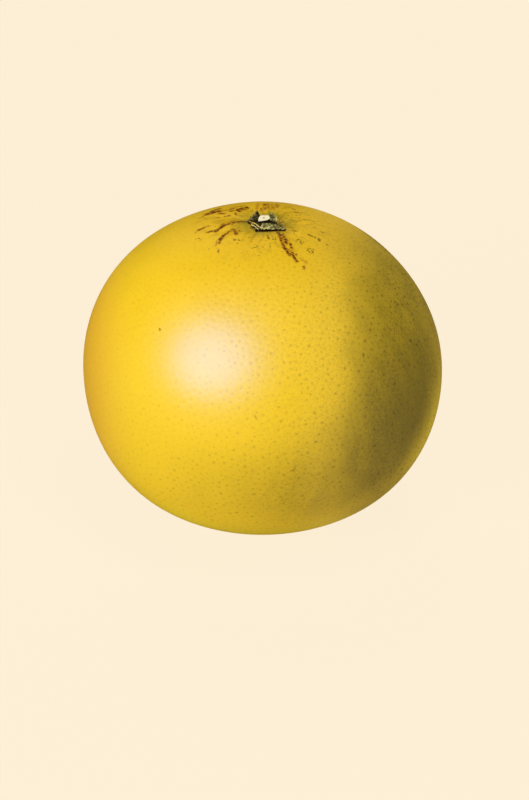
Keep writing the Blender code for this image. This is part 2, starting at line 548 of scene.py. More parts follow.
class Skin(Coat):
    """The rind's board: it reads places, pores and marks, and lays the finish layer by layer."""

    def __init__(self, material: Material, finish: RindFinish, form: FruitForm) -> None:
        """Reads the mesh's marks and where a point lies on the fruit.

        Args:
            material: the rind's material.
            finish: the values of its layers.
            form: the fruit's shape.
        """
        super().__init__(material, Tone.GOLD)
        self.finish, self.middle = finish, form.middle
        self.stem = (form.stem_x, form.stem_y, 0.0)
        self.distance = StemDistance(self.stem).place(self, self.place)
        sides = self.add("ShaderNodeSeparateXYZ", {0: self.place}).outputs
        self.east, self.height = sides["X"], sides["Z"]
        self.dot, self.tone, self.ring = self.channels(Rind.PORES)
        self.stains = self.channels(Rind.STAINS)
        self.upper, self.right = self.up(finish.upper_half), self.across(finish.right_side)
        self.wide = finish.wide.place(self, self.place)
        self.crumb = self.noise(self.place, finish.crumb_size)
        self.rim = self.rim_mask()
        self.inner = self.math("SUBTRACT", 1.0, self.rim)
        self.olive = self.shade_mask()

    def across(self, fade: Fade) -> Socket:
        """A fade from left to right, in millimetres from the fruit's axis."""
        return self.fade(self.east, fade, MM)

    def up(self, fade: Fade) -> Socket:
        """A fade in height, in millimetres from the fruit's middle."""
        return self.fade(self.height, fade, MM, self.middle)

    def out(self, fade: Fade) -> Socket:
        """A fade away from the stem, in millimetres."""
        return self.fade(self.distance, fade, MM)

    def patch(self, patch: Patch) -> Socket:
        """A soft patch of the skin."""
        centre = (patch.x * MM, patch.y * MM, patch.z * MM + self.middle)
        return self.fade(self.vector("DISTANCE", self.place, centre), patch.fade, MM)

    def rim_mask(self) -> Socket:
        """Where the skin turns away from the camera: the painted shade gives way to a brighter gold, a
        painted reflected light along the rim.

        Returns:
            The mask.
        """
        look = self.finish
        lift = math.radians(Studio.elevation)
        centred = self.vector("SUBTRACT", self.place, (0.0, 0.0, self.middle))
        depth = self.vector("DOT_PRODUCT", centred, (0.0, math.cos(lift), -math.sin(lift)))
        kept = self.math("SUBTRACT", 1.0, self.patch(look.rim_break))
        return self.times(self.fade(depth, look.rim_behind, MM), self.up(look.rim_height), kept)

    def shade_mask(self) -> Socket:
        """The painted olive shade: a side with a broken edge, a foot and a faint band.

        Returns:
            The mask.
        """
        look = self.finish
        bulge = self.math("SUBTRACT", self.up(look.shade_bulge), self.up(look.shade_return))
        lean = self.math("MULTIPLY_ADD", self.wide, look.wide_reach, self.math("ADD", self.east, bulge))
        lean = self.math("MULTIPLY_ADD", self.crumb, look.crumb_reach, lean)
        shade = self.math("ADD", self.fade(lean, look.shade_side, MM), self.patch(look.shade_foot))
        band = self.times(self.across(look.band_side), self.up(look.band_top), self.up(look.band_foot))
        shade = self.math("MINIMUM", self.math("ADD", shade, band), 1.0)
        long = self.vector("MULTIPLY", self.place, (1.0, 1.0, look.drift_stretch))
        drift = self.line(look.drift.place(self, long), look.olive_share)
        return self.times(shade, self.inner, drift)

    def lay_gold(self) -> None:
        """Lays the golds of the ground, the rim's brighter gold that paints reflected light, and a fine
        fleck over them.
        """
        look = self.finish
        sunny = self.times(self.across(look.sunny_side), self.upper)
        self.paint(self.math("MAXIMUM", sunny, self.times(self.wide, look.wide_share)), Tone.BRIGHT_GOLD)
        self.paint(self.up(look.lower_gold), Tone.LOW_GOLD)
        # Painted reflected light: a brighter gold along the rim as the camera sees it.
        self.paint(self.times(self.rim, self.across(look.rim_side)), Tone.RIM_GOLD)
        fine = self.times(look.fine.place(self, self.place), self.line(self.right, look.fine_share))
        self.paint(fine, Tone.FLECK)

    def lay_shade(self) -> None:
        """Lays the painted olive shade with its light and dark flecks and its deepest patch, then the amber
        of the left side, partly painted shade along its edge, and the deeper gold of the top.
        """
        look = self.finish
        # Painted shade: olive on the side away from the lamps, with lighter and darker flecks in it.
        self.paint(self.olive, Tone.SHADE_OLIVE)
        for tone, fade in ((Tone.GLINT, look.crumb_light), (Tone.DARK_OLIVE, look.crumb_dark)):
            self.paint(self.times(self.fade(self.crumb, fade), self.olive), tone)
        # Painted shade: its deepest patch, on the right side.
        self.paint(self.times(self.patch(look.shade_deep), self.inner), Tone.DARK_OLIVE)
        # Amber on the far left: partly the skin's tint, partly painted shade along the left edge.
        self.paint(self.across(look.amber_side), Tone.AMBER)
        self.paint(self.times(self.out(look.deep_cap), self.upper), Tone.DEEP_GOLD)

    def lay_pores(self) -> None:
        """Darkens the pores, taking a shaded copy of their tone inside the painted shade, adds finer dots
        between them and lights a few rings.
        """
        look = self.finish
        pit = self.times(self.fade(self.dot, look.pit_edge), self.tone)
        dots = self.times(look.dots.place(self, self.place), self.line(self.right, look.dots_share))
        # Inside the painted shade the pores take a darker, shaded copy of their tone.
        self.paint(self.math("MAXIMUM", pit, dots), self.mix(self.olive, Tone.PORE, Tone.PORE_OLIVE))
        self.paint(self.times(self.ring, self.line(self.olive, look.ring_share)), Tone.BRIGHT_GOLD)

    def lay_crown(self) -> None:
        """Lays the olive rays and the darker green halo round the stem, partly the skin's green and partly
        painted shade round the calyx.
        """
        look = self.finish
        rays = Rays(self.stem, look.ray_count, look.ray_length).place(self, self.place)
        self.paint(self.times(rays, self.out(look.hatch), self.upper), Tone.OLIVE)
        # Partly the skin's green and partly painted shade round the calyx.
        patches = self.line(look.halo_patches.place(self, self.place), look.halo_share)
        self.paint(self.times(self.out(look.halo), patches, self.upper), Tone.HALO)

    def lay_marks(self) -> Socket:
        """Lays the russet, brown and olive marks, whose brown also paints the calyx's shadow, and the lone
        specks.

        Returns:
            Where the skin is marred.
        """
        look = self.finish
        lumps = self.noise(self.place, look.lump_size)
        russet = self.stains[0]
        core = self.times(self.fade(lumps, look.lump_core), self.fade(russet, look.stain_core))
        self.paint(self.fade(russet, look.stain_wash), Tone.WASH)
        tones = (self.mix(core, Tone.RUSSET, Tone.DARK_RUSSET), Tone.BROWN, Tone.OLIVE)
        marred: float | Socket = 0.0
        for channel, tone, top in zip(self.stains, tones, look.stain_tops):
            rough = self.math("MULTIPLY_ADD", self.math("SUBTRACT", lumps, 0.5), look.lump_reach, channel)
            mask = self.ramp(rough, look.stain_start, look.stain_end, top)
            mask = self.times(mask, self.fade(channel, look.stain_edge))
            self.paint(mask, tone)
            marred = self.math("MAXIMUM", mask, marred)
        self.paint(self.times(look.spots.place(self, self.place), look.spots_share), Tone.SPECK)
        return marred

    def lay(self) -> None:
        """Lays every layer, the blossom scar on the flat spot, the gloss and the fine relief."""
        look = self.finish
        for layer in (self.lay_gold, self.lay_shade, self.lay_pores, self.lay_crown):
            layer()
        marred = self.lay_marks()
        scar = self.times(self.fade(self.height, look.scar_height, MM), self.out(look.scar_reach))
        self.paint(scar, Tone.SCAR)
        dull = self.line(self.dot, Line(look.roughness, look.dot_dull))
        dull = self.math("MULTIPLY_ADD", scar, look.scar_dull, dull)
        for fade in (look.dull_right, look.dull_left):
            dull = self.math("ADD", dull, self.across(fade))
        relief = self.math("ADD", *(grain.place(self, self.place) for grain in (look.coarse, look.close)))
        marred = self.math("MAXIMUM", marred, scar)
        self.dress(dull, self.math("MULTIPLY_ADD", marred, look.mark_height, relief))


@dataclass(frozen=True)
class Finish:
    """What every finish has: its name, its least roughness and its gloss."""

    name: str
    roughness: float = 0.5
    specular: float = 0.5

    def material(self) -> Material:
        """Makes the material with its gloss.

        Returns:
            The material.
        """
        material = bpy.data.materials.new(self.name)
        material.use_nodes = True
        inputs = material.node_tree.nodes["Principled BSDF"].inputs
        inputs["Roughness"].default_value = self.roughness
        inputs["Specular IOR Level"].default_value = self.specular
        return material


@dataclass(frozen=True)
class RindFinish(Finish):
    """The waxy yellow skin with its painted shade and painted rim light, pores, russet marks and green round
    the stem that is partly painted shade.
    """

    name: str = "rind"
    roughness: float = 0.37

    upper_half: Fade = Fade(0.0, 10.0)
    sunny_side: Fade = Fade(-14.0, 14.0, 0.8)
    wide: Mottle = Mottle(17.0 * MM, 0.36, 0.64)
    wide_share: float = 0.35
    lower_gold: Fade = Fade(50.0, 10.0)
    amber_side: Fade = Fade(-42.0, -60.0, 0.85)
    deep_cap: Fade = Fade(48.0, 10.0, 0.62)

    # Where the painted rim light lies, seen from the camera.
    rim_behind: Fade = Fade(-29.0, -11.0)
    rim_height: Fade = Fade(24.0, -14.0, 0.9)
    rim_break: Patch = Patch(34.0, -28.0, -35.0, Fade(26.0, 8.0, 0.6))
    rim_side: Fade = Fade(-46.0, -22.0)

    # The painted olive shade of the right side and its flecks.
    crumb_size: float = 0.50 * MM
    crumb_reach: float = 16.0 * MM
    wide_reach: float = 3.5 * MM
    shade_bulge: Fade = Fade(24.0, -2.0, 7.0 * MM)
    shade_return: Fade = Fade(8.0, -14.0, 6.0 * MM)
    shade_side: Fade = Fade(30.0, 50.5)
    shade_foot: Patch = Patch(15.0, -52.0, -18.0, Fade(31.0, 5.0, 0.34))
    band_side: Fade = Fade(-38.0, -18.0, 0.19)
    band_top: Fade = Fade(4.0, -14.0)
    band_foot: Fade = Fade(-37.0, -24.0)
    drift: Mottle = Mottle(7.0 * MM, 0.30, 0.72)
    drift_stretch: float = 0.3
    olive_share: Line = Line(0.66, 0.26)
    crumb_light: Fade = Fade(0.54, 0.68, 0.8)
    crumb_dark: Fade = Fade(0.46, 0.32, 0.8)
    shade_deep: Patch = Patch(45.0, -31.0, 0.0, Fade(34.0, 4.0, 0.54))

    right_side: Fade = Fade(-30.0, 45.0)
    fine: Mottle = Mottle(0.75 * MM, 0.46, 0.64)
    fine_share: Line = Line(0.13, 0.24)
    dots: Specks = Specks(1.2 * MM, 0.38 * MM, 0.5)
    dots_share: Line = Line(0.10, 0.18)
    pit_edge: Fade = Fade(0.22, 0.78)
    ring_share: Line = Line(0.8, -0.5)

    ray_count: float = 7.0
    ray_length: float = 6.0 * MM
    hatch: Fade = Fade(30.0, 7.0, 0.42)
    halo: Fade = Fade(13.5, 5.0)
    halo_patches: Mottle = Mottle(3.0 * MM, 0.30, 0.66)
    halo_share: Line = Line(0.30, 0.44)

    lump_size: float = 0.85 * MM
    lump_reach: float = 2.8
    lump_core: Fade = Fade(0.38, 0.54)
    stain_core: Fade = Fade(0.25, 0.75)
    stain_wash: Fade = Fade(0.0, 0.5, 0.62)
    stain_edge: Fade = Fade(0.10, 0.40)
    stain_tops: tuple[float, ...] = (0.92, 0.80, 0.82)
    stain_start: float = 0.36
    stain_end: float = 0.86
    spots: Specks = Specks(9.0 * MM, 0.30 * MM, 0.20)
    spots_share: float = 0.80
    scar_height: Fade = Fade(1.2, 0.2)
    scar_reach: Fade = Fade(2.8, 1.8, 0.9)

    dot_dull: float = 0.03
    scar_dull: float = 0.25
    dull_right: Fade = Fade(6.0, 26.0, 0.27)
    dull_left: Fade = Fade(-40.0, -54.0, 0.14)
    coarse: Grain = Grain(1.3 * MM, 0.015 * MM)
    close: Grain = Grain(0.40 * MM, 0.010 * MM)
    mark_height: float = 0.04 * MM

    def build(self, form: FruitForm) -> Material:
        """Makes the rind's material.

        Args:
            form: the fruit's shape, for the places of the stem and the sides.

        Returns:
            The material.
        """
        material = self.material()
        Skin(material, self, form).lay()
        return material


@dataclass(frozen=True)
class DryFinish(Finish):
    """A dry, mottled surface with a fine grain."""

    ground: Tone = Tone.LEAF_DARK
    patches: Mottle = Mottle(0.8 * MM, 0.36, 0.66)
    roughness_gain: float = 0.12
    grain: Grain = Grain(0.4 * MM, 0.12 * MM)

    def lay(self, coat: Coat, patch: Socket) -> None:
        """Lays the finish's own tones over its ground."""
        raise NotImplementedError

    def build(self) -> Material:
        """Makes the material.

        Returns:
            The material.
        """
        material = self.material()
        coat = Coat(material, self.ground)
        patch = self.patches.place(coat, coat.place)
        self.lay(coat, patch)
        dull = coat.line(patch, Line(self.roughness, self.roughness_gain))
        coat.dress(dull, self.grain.place(coat, coat.place))
        return material


@dataclass(frozen=True)
class CalyxFinish(DryFinish):
    """Dried leaf: dark, with painted shade in its folds, grey-green on its faces, cream and gilt along its
    edges, where the cream is partly a painted highlight.
    """

    name: str = "dried_calyx"
    roughness: float = 0.66
    roughness_gain: float = 0.15
    specular: float = 0.05
    patches: Mottle = Mottle(0.8 * MM, 0.38, 0.60)
    patch_share: Line = Line(0.30, 0.70)
    mid_light: Fade = Fade(0.0, 0.34)
    grey_light: Fade = Fade(0.34, 0.84)
    wear: Mottle = Mottle(0.8 * MM, 0.38, 0.54)
    wear_share: Line = Line(0.25, 0.75)
    grain: Grain = Grain(0.45 * MM, 0.09 * MM)

    def lay(self, coat: Coat, patch: Socket) -> None:
        """Lays the greys by the sheet's paleness, which holds the painted shade of its creases, then its
        cream and gilt edges: the leaf's pale rim and a painted highlight along it, broken in patches.

        Args:
            coat: the material's board.
            patch: the finish's patches.
        """
        edge, pale, gilt = coat.channels(CalyxSheet.MARKS)
        light = coat.times(pale, coat.line(patch, self.patch_share))
        coat.paint(coat.fade(light, self.mid_light), Tone.LEAF_MID)
        coat.paint(coat.fade(light, self.grey_light), Tone.LEAF_GREY)
        # The cream edges are partly the dried leaf's pale rim and partly a painted highlight, broken up in
        # patches.
        edge_patches = coat.line(self.wear.place(coat, coat.place), self.wear_share)
        coat.paint(coat.times(edge, edge_patches), coat.mix(gilt, Tone.LEAF_EDGE, Tone.LEAF_GILT))


@dataclass(frozen=True)
class CutFinish(DryFinish):
    """The stem's cut wood, pale with a greyer pith and rim."""

    name: str = "cut_stem"
    roughness: float = 0.66
    specular: float = 0.2
    ground: Tone = Tone.CUT_CREAM
    patches: Mottle = Mottle(0.55 * MM, 0.40, 0.68)
    patch_share: Line = Line(0.4, 0.6)
    pith: Fade = Fade(0.95, 0.35, 0.55)
    rim: Fade = Fade(1.65, 2.0, 0.45)
    grain: Grain = Grain(0.35 * MM, 0.10 * MM)

    def lay(self, coat: Coat, patch: Socket) -> None:
        """Lays the grey of the pith and of the rim.

        Args:
            coat: the material's board.
            patch: the finish's patches.
        """
        distance = StemDistance((FruitForm.stem_x, FruitForm.stem_y, 0.0)).place(coat, coat.place)
        grey = coat.math("MAXIMUM", *(coat.fade(distance, fade, MM) for fade in (self.pith, self.rim)))
        coat.paint(coat.times(grey, coat.line(patch, self.patch_share)), Tone.CUT_GREY)


@dataclass(frozen=True)
class BarkFinish(DryFinish):
    """The stem's dark green bark."""

    name: str = "stem_bark"
    roughness: float = 0.72
    specular: float = 0.05

    def lay(self, coat: Coat, patch: Socket) -> None:
        """Lays the lighter bark in patches."""
        coat.paint(patch, Tone.BARK)


def new_piece(name: str, shape: BMesh, *materials: Material) -> Piece:
    """Turns a bmesh into a smooth-shaded object at the origin.

    Args:
        name: the piece's name.
        shape: the bmesh, which is freed.
        materials: its finishes, in slot order.

    Returns:
        The object.
    """
    mesh = bpy.data.meshes.new(name)
    shape.to_mesh(mesh)
    shape.free()
    mesh.shade_smooth()
    for material in materials:
        mesh.materials.append(material)
    piece = bpy.data.objects.new(name, mesh)
    bpy.context.scene.collection.objects.link(piece)
    return piece


def report(piece: Piece) -> None:
    """Logs a finished piece and how many faces it has."""
    LOG.info("%s: %d faces", piece.name, len(piece.data.polygons))


class Streak:
    """A mark on the skin through a line of places, in millimetres from the stem."""

    CORE_EDGE = 0.9
    CORE_MIDDLE = 0.2
    BLUR = 0.9
    WASH = 0.24
    WASH_MIDDLE = 0.3

    def __init__(self, width: float, strength: float, *numbers: float) -> None:
        """Takes one row of the marks.

        Args:
            width: how wide the mark is.
            strength: how strongly it shows at most.
            numbers: X and Y of each of its places in turn.
        """
        self.strength = strength
        places = [Vector(place) for place in zip(numbers[::2], numbers[1::2])]
        self.spans = list(zip(places, places[1:]))
        self.middle = sum(places, Vector((0.0, 0.0))) / len(places)
        self.reach = max((place - self.middle).length for place in places) + width + self.BLUR
        self.core = Fade(self.CORE_EDGE * width, self.CORE_MIDDLE * width)
        self.wash = Fade(width + self.BLUR, self.WASH_MIDDLE, self.WASH)

    def mask(self, spot: Vector) -> float:
        """How strongly the mark shows at a place.

        Args:
            spot: millimetres from the stem along X and Y.

        Returns:
            A share from 0 to 1.
        """
        if (spot - self.middle).length > self.reach:
            return 0.0
        away = self.reach
        for start, end in self.spans:
            side = end - start
            share = min(1.0, max(0.0, (spot - start).dot(side) / side.length_squared))
            away = min(away, (spot - start - side * share).length)
        return self.strength * max(self.core.at(away), self.wash.at(away))


@dataclass
class Stains:
    """The marks round the stem: red-brown russet, darker brown and faint olive; brown rows that hug the
    calyx paint its shadow.

    A row is one mark as Streak takes it: its width and strength, then X and Y of each place.
    """

    reach: float = 30.0
    seed: int = 11
    flecks: int = 64
    fleck_turn: float = 30.0
    fleck_distances: tuple[float, float] = (8.0, 27.0)
    fleck_lengths: tuple[float, float] = (0.4, 1.5)
    fleck_widths: tuple[float, float] = (0.35, 0.6)
    fleck_strengths: tuple[float, float] = (0.4, 0.8)
    russet: Rows = (
        (0.95, 1.0, 5.0, -9.3, 5.6, -11.8, 6.3, -16.0, 8.5, -20.3),
        (1.0, 0.9, 6.2, -9.6, 7.3, -12.8, 7.4, -14.8), (0.7, 0.9, 8.6, -14.6, 9.1, -17.1),
        (0.7, 0.9, 8.6, -18.0, 9.5, -19.4), (0.8, 1.0, 9.4, -20.2, 10.8, -22.9),
        (0.5, 0.5, 12.0, -21.2, 14.2, -22.7), (0.7, 0.8, 13.2, -24.3, 13.2, -24.9),
        (0.6, 0.8, 10.5, -19.6, 10.5, -20.1), (1.2, 0.80, -7.0, 1.3, -10.2, 0.1),
        (1.25, 0.82, -10.2, 0.1, -13.6, -2.2, -15.2, -3.9, -16.0, -5.2),
        (0.7, 0.66, -9.6, 1.4, -12.6, 0.2, -14.6, -1.6), (1.0, 0.74, -15.4, -4.4, -18.7, -4.8),
        (1.1, 0.7, -18.6, -0.4, -21.6, -1.6), (1.3, 0.82, -12.0, -7.4, -13.3, -8.9, -14.4, -10.8),
        (0.8, 0.74, -14.4, -11.6, -14.6, -13.1), (0.6, 0.49, -15.5, -11.4, -15.9, -14.2),
        (1.15, 0.78, -10.2, -4.4, -9.5, -6.4, -9.2, -9.0), (0.8, 0.66, -8.3, -6.0, -7.9, -6.8),
        (0.8, 0.66, -11.8, -5.8, -11.2, -6.4), (2.7, 0.95, -18.6, 11.8, -15.8, 12.6),
        (1.5, 0.9, -17.4, 14.4, -15.0, 16.2), (0.8, 0.8, -15.0, 11.0, -13.4, 11.6, -12.2, 12.0),
        (0.7, 0.6, -21.4, 9.2, -20.2, 10.0), (1.0, 0.9, -11.4, 12.0, -10.4, 12.9),
        (1.2, 1.0, -8.6, 11.4, -7.6, 12.0, -6.4, 13.3), (0.9, 0.8, -8.6, 9.6, -7.6, 9.0),
        (0.9, 0.9, -5.8, 14.5, -5.4, 12.8), (0.8, 0.7, -9.8, 8.0, -9.2, 6.8),
        (1.1, 0.8, -14.8, 9.4, -13.2, 8.6), (0.9, 0.8, -12.8, 6.2, -11.4, 6.5),
        (0.8, 0.49, -16.0, 5.6, -15.0, 6.0), (1.0, 0.33, -16.8, 2.6, -14.6, 2.4),
        (0.8, 0.41, -22.4, 5.6, -21.4, 5.8), (0.8, 0.7, -10.2, 14.4, -8.5, 15.0, -6.8, 16.0),
        (0.8, 0.8, -11.2, 10.0, -9.6, 10.5, -7.4, 10.6, -5.9, 11.2), (1.0, 0.8, 0.2, 17.5, 0.2, 13.0),
        (0.6, 0.7, 1.4, 15.5, 1.5, 12.0), (0.6, 0.6, -1.0, 12.5, -1.2, 10.0),
        (0.7, 0.8, 4.3, 18.0, 4.5, 13.0), (0.5, 0.6, 3.0, 14.0, 3.4, 11.0),
        (1.0, 0.5, -2.0, 18.0, -2.4, 12.0), (2.0, 0.5, 0.8, 18.5, 0.6, 11.5),
        (0.9, 0.5, 2.6, 17.5, 2.6, 12.0),
    )
    # Brown rows along the calyx's front, its lower left and its right side paint its shadow on the skin; the
    # others are marks.
    brown: Rows = (
        (1.3, 0.8, -5.2, 1.6, -7.4, 1.2), (1.4, 0.6, 5.2, 5.0, 5.6, -1.5), (1.3, 0.5, 6.4, 3.8, 7.2, -2.2),
        (0.8, 0.5, 4.9, 6.2, 4.4, 7.4), (1.3, 0.9, 4.6, -7.2, 5.4, -9.4), (1.0, 0.6, 6.4, -7.6, 6.6, -9.6),
        (1.4, 0.7, -1.5, -6.2, 5.8, -6.2), (1.0, 0.7, -4.6, -2.6, -2.6, -6.4),
        (0.7, 0.9, -10.5, -1.2, -10.7, -1.5),
    )
    olive: Rows = (
        (0.7, 1.0, 9.4, -5.8, 11.0, -6.3), (0.7, 1.0, 14.7, -7.6, 16.8, -8.7),
        (0.9, 1.0, 18.1, -8.8, 18.3, -9.6), (1.0, 0.7, 20.4, -10.8, 21.4, -11.4),
        (0.5, 0.9, 11.2, -11.0, 12.0, -10.8, 13.0, -12.6, 12.6, -13.7, 11.6, -12.4),
        (0.5, 0.9, 14.2, -15.8, 15.2, -15.6, 16.2, -17.2, 15.4, -17.8, 14.2, -16.6),
        (0.7, 0.7, 13.6, -2.0, 14.2, -2.4), (0.6, 0.6, 16.4, -1.3, 18.0, -1.1),
        (0.8, 0.6, 18.8, -3.6, 19.6, -4.0), (0.6, 0.6, 17.4, 4.2, 19.8, 4.6),
        (0.4, 0.7, 6.8, 4.2, 10.5, 4.4, 14.5, 3.2), (0.4, 0.7, 7.2, -0.2, 9.9, 1.4, 13.0, 1.8),
        (0.4, 0.6, 8.0, 2.4, 12.0, 2.9), (0.4, 0.6, 7.4, 6.6, 11.8, 7.2), (1.0, 0.8, 10.0, 10.3, 12.3, 10.0),
        (0.9, 0.7, 9.6, 13.6, 10.4, 12.8), (0.7, 0.6, 13.5, 9.0, 15.4, 8.0),
        (0.7, 0.8, 1.1, -9.6, 1.5, -12.4), (0.6, 0.7, 1.7, -14.6, 2.0, -17.4),
        (0.6, 0.6, 2.8, -10.8, 3.0, -13.0), (0.5, 0.5, 3.6, -9.6, 3.9, -14.5),
        (0.6, 0.7, -3.9, -17.4, -2.8, -17.2, -1.8, -16.2, -0.9, -16.4, -0.4, -18.0),
        (0.5, 0.6, -4.9, -16.0, -4.3, -16.8), (0.9, 0.9, -9.8, -12.0, -9.5, -12.8),
        (0.7, 0.8, -8.3, -12.4, -8.0, -13.0), (0.8, 0.9, -14.9, -16.9, -14.8, -17.6),
        (0.6, 0.7, -18.4, -14.6, -18.0, -15.0), (0.8, 0.6, -21.4, -7.4, -20.9, -8.6),
    )

    def __post_init__(self) -> None:
        """Makes the marks and adds scattered flecks that mostly point away from the stem."""
        draw = random.Random(self.seed)
        flecks = []
        for _ in range(self.flecks):
            turn, distance = math.radians(draw.uniform(0.0, 360.0)), draw.uniform(*self.fleck_distances)
            start = polar(turn) * distance
            way = turn + math.radians(draw.gauss(0.0, self.fleck_turn))
            end = start + polar(way) * draw.uniform(*self.fleck_lengths)
            size = (draw.uniform(*self.fleck_widths), draw.uniform(*self.fleck_strengths))
            flecks.append((*size, *start, *end))
        kinds = (self.russet, self.brown, self.olive + tuple(flecks))
        self.kinds = [[Streak(*row) for row in kind] for kind in kinds]

    def colour(self, x: float, y: float) -> Colour:
        """The three masks at a place, as one colour.

        Args:
            x: millimetres from the stem along X.
            y: millimetres from the stem along Y.

        Returns:
            Russet, brown and olive in red, green and blue.
        """
        spot = Vector((x, y))
        if spot.length > self.reach:
            return (0.0, 0.0, 0.0, 1.0)
        russet, brown, olive = (max(streak.mask(spot) for streak in kind) for kind in self.kinds)
        return (russet, brown, olive, 1.0)


@dataclass
class Rind:
    """The fruit's skin, with each pore a shallow pit in the mesh."""

    PORES = "rind_pores"
    STAINS = "rind_stains"
    DEPTH = "rind_depth"

    form: FruitForm
    finish: RindFinish = field(default_factory=RindFinish)
    stains: Stains = field(default_factory=Stains)
    seed: int = 95
    pores: int = 8200
    scatter: float = 0.42
    smoothings: int = 2
    pore_radius: float = 0.00064
    pore_depth: float = 0.00008
    rim_depth: float = 0.00002
    size_low: float = 0.58
    size_high: float = 1.22
    pebble_height: float = 0.00002
    scar_radius: float = 0.0026
    scar_depth: float = 0.00035
    ring_share: float = 0.05
    fine_angle: float = 27.0
    depth_spread: tuple[float, float] = (0.6, 1.4)
    facet_mark: float = 0.35
    lamp_away: tuple[float, float, float] = (0.6, 0.0, -0.7)
    tone_base: float = 0.22
    tone_clear: Fade = Fade(-0.58, 0.20, 0.42)
    tone_right: Fade = Fade(0.45, 0.80, 0.36)
    tone_crown: Fade = Fade(0.15, 0.55, 0.24)
    crown_side: Fade = Fade(-0.60, 0.0)
    chance_line: Line = Line(0.26, 0.64)
    chance_power: float = 1.7
    stain_height: float = 0.5

    def scattered_ball(self, draw: random.Random) -> BMesh:
        """A unit ball whose corners lie where the pores go.

        Args:
            draw: the seeded source of chance.

        Returns:
            A closed bmesh of triangles.
        """
        ball = bmesh.new()
        ball.verts.layers.float_color.new(self.PORES)
        ball.verts.layers.float_color.new(self.STAINS)
        ball.verts.layers.float.new(self.DEPTH)
        golden = math.pi * (3.0 - math.sqrt(5.0))
        step = math.sqrt(4.0 * math.pi / self.pores)
        for index in range(self.pores):
            height = 1.0 - (2.0 * index + 1.0) / self.pores
            across = math.sqrt(1.0 - height * height)
            spot = Vector((*polar(golden * index, across), height))
            shift = Vector([draw.uniform(-1.0, 1.0) for _ in range(3)]) * self.scatter * step
            ball.verts.new((spot + shift).normalized())
        bmesh.ops.convex_hull(ball, input=ball.verts)
        loose = [vert for vert in ball.verts if not vert.link_faces]
        bmesh.ops.delete(ball, geom=loose, context="VERTS")
        for _ in range(self.smoothings):
            axes = {"use_axis_" + axis: True for axis in "xyz"}
            bmesh.ops.smooth_vert(ball, verts=ball.verts, factor=0.5, **axes)
            for vert in ball.verts:
                vert.co.normalize()
        return ball

    def open_pores(self, ball: BMesh, draw: random.Random) -> None:
        """Turns every corner into a small pit and raises the land between the pits a little.

        Args:
            ball: the scattered ball, which is changed.
            draw: the seeded source of chance.
        """
        size = self.pore_radius / self.form.girdle_radius
        way = {"offset_type": "OFFSET", "affect": "VERTICES", "clamp_overlap": False, "material": -1}
        cut = bmesh.ops.bevel(ball, geom=list(ball.verts), offset=size, segments=1, profile=0.5, **way)
        marks = ball.verts.layers.float_color[self.PORES]
        depth = ball.verts.layers.float[self.DEPTH]
        facets = list(cut["faces"])
        opened = set(facets)
        land = [face for face in ball.faces if face not in opened]
        for vert in bmesh.ops.poke(ball, faces=land)["verts"]:
            vert[marks] = (0.0, 0.0, 0.0, 1.0)
            vert[depth] = draw.uniform(0.0, self.pebble_height)
        for facet in facets:
            centre = facet.calc_center_median()
            size = draw.uniform(self.size_low, self.size_high)
            tone = self.pore_tone(centre, draw)
            ring = 1.0 if draw.random() < self.ring_share else 0.0
            for vert in facet.verts:
                vert.co = centre + (vert.co - centre) * size
                vert[marks] = (self.facet_mark, tone, 0.0, ring)
                vert[depth] = self.rim_depth
        for pit in bmesh.ops.poke(ball, faces=facets)["verts"]:
            rim = pit.link_edges[0].other_vert(pit)[marks]
            pit[marks] = (1.0, rim[1], rim[3], 1.0)
            pit[depth] = self.pore_depth * draw.uniform(*self.depth_spread)

    def pore_tone(self, unit: Vector, draw: random.Random) -> float:
        """How dark a pore is: a random tone of its own with painted shade in the pit, faint on the left,
        where it faces the lamp, and clearer to the right.

        Args:
            unit: the pore's direction from the middle.
            draw: the seeded source of chance.

        Returns:
            A share from 0 to 1.
        """
        tone = self.tone_base + self.tone_clear.at(unit.dot(Vector(self.lamp_away)))
        tone += self.tone_right.at(unit.x) + self.tone_crown.at(unit.z) * self.crown_side.at(unit.x)
        chance = draw.random() ** self.chance_power
        return tone * (self.chance_line.base + self.chance_line.gain * chance)

    def build(self) -> Piece:
        """Makes the skin and dresses it.

        Returns:
            The rind's object.
        """
        draw = random.Random(self.seed)
        ball = self.scattered_ball(draw)
        self.open_pores(ball, draw)
        limit = math.cos(math.radians(self.fine_angle))
        near = [edge for edge in ball.edges if min(vert.co.normalized().z for vert in edge.verts) > limit]
        bmesh.ops.subdivide_edges(ball, edges=near, cuts=1, use_grid_fill=True)
        stains = ball.verts.layers.float_color[self.STAINS]
        depth = ball.verts.layers.float[self.DEPTH]
        for vert in ball.verts:
            unit = vert.co.normalized()
            point = self.form.point(unit)
            on_flat = point.z <= 0.0
            vert.co = point - unit * (0.0 if on_flat else vert[depth])
            if on_flat:
                vert.co.z = self.scar_depth * ease(math.hypot(point.x, point.y), self.scar_radius, 0.0)
            far = unit.z < self.stain_height
            x, y = (point.x - self.form.stem_x) / MM, (point.y - self.form.stem_y) / MM
            vert[stains] = (0.0, 0.0, 0.0, 1.0) if far else self.stains.colour(x, y)
        ball.verts.layers.float.remove(depth)
        bmesh.ops.recalc_face_normals(ball, faces=ball.faces)
        rind = new_piece("rind", ball, self.finish.build(self.form))
        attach(rind, "root")
        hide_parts("fruit")
        return rind


@dataclass(frozen=True)
class Lobe:
    """One lobe of a calyx sheet: degrees for its turns, metres for its lengths, shares for its tones."""

    azimuth: float
    reach: float
    half_width: float
    lift: float
    curl: float = 0.0
    pale: float = 0.0
    gilt: float = 0.0
    edge: float = 0.0

    def share(self, turn: float) -> float:
        """One at the lobe's middle, falling to nothing beside it."""
        apart = (turn - self.azimuth + 180.0) % 360.0 - 180.0
        return math.exp(-((apart / self.half_width) ** 2))


